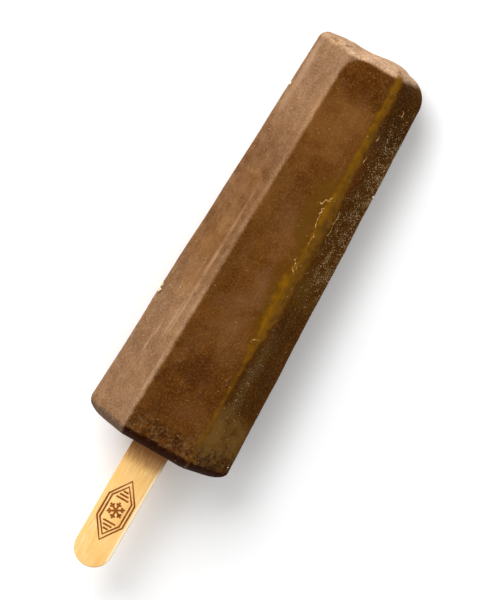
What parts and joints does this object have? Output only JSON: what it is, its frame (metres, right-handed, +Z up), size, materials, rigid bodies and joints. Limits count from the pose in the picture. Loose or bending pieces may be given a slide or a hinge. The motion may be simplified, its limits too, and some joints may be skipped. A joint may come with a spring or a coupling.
{
  "type": "ice cream bar",
  "caption": "Tapering, faceted chocolate ice cream bar on a flat, round-ended wooden stick, lying on its back face with its front face up.",
  "frame": {"origin": "on the surface the bar lies on, under the middle of the bounding box", "axes": "+Y along the bar towards the tip, the stick towards -Y; +Z up, out of the front face; +X to the right of the front face"},
  "size_m": [0.0392, 0.1472, 0.0238],
  "materials": {
    "ice_cream": "frozen chocolate gelato, frosted and dull on the left and the tip, glossy where it melts along the right ridge",
    "stick": "smooth uncoated birch with fine grain along its length"
  },
  "bodies": {
    "root": {"ice_cream": "ice_cream", "stick": "stick"}
  },
  "joints": []
}
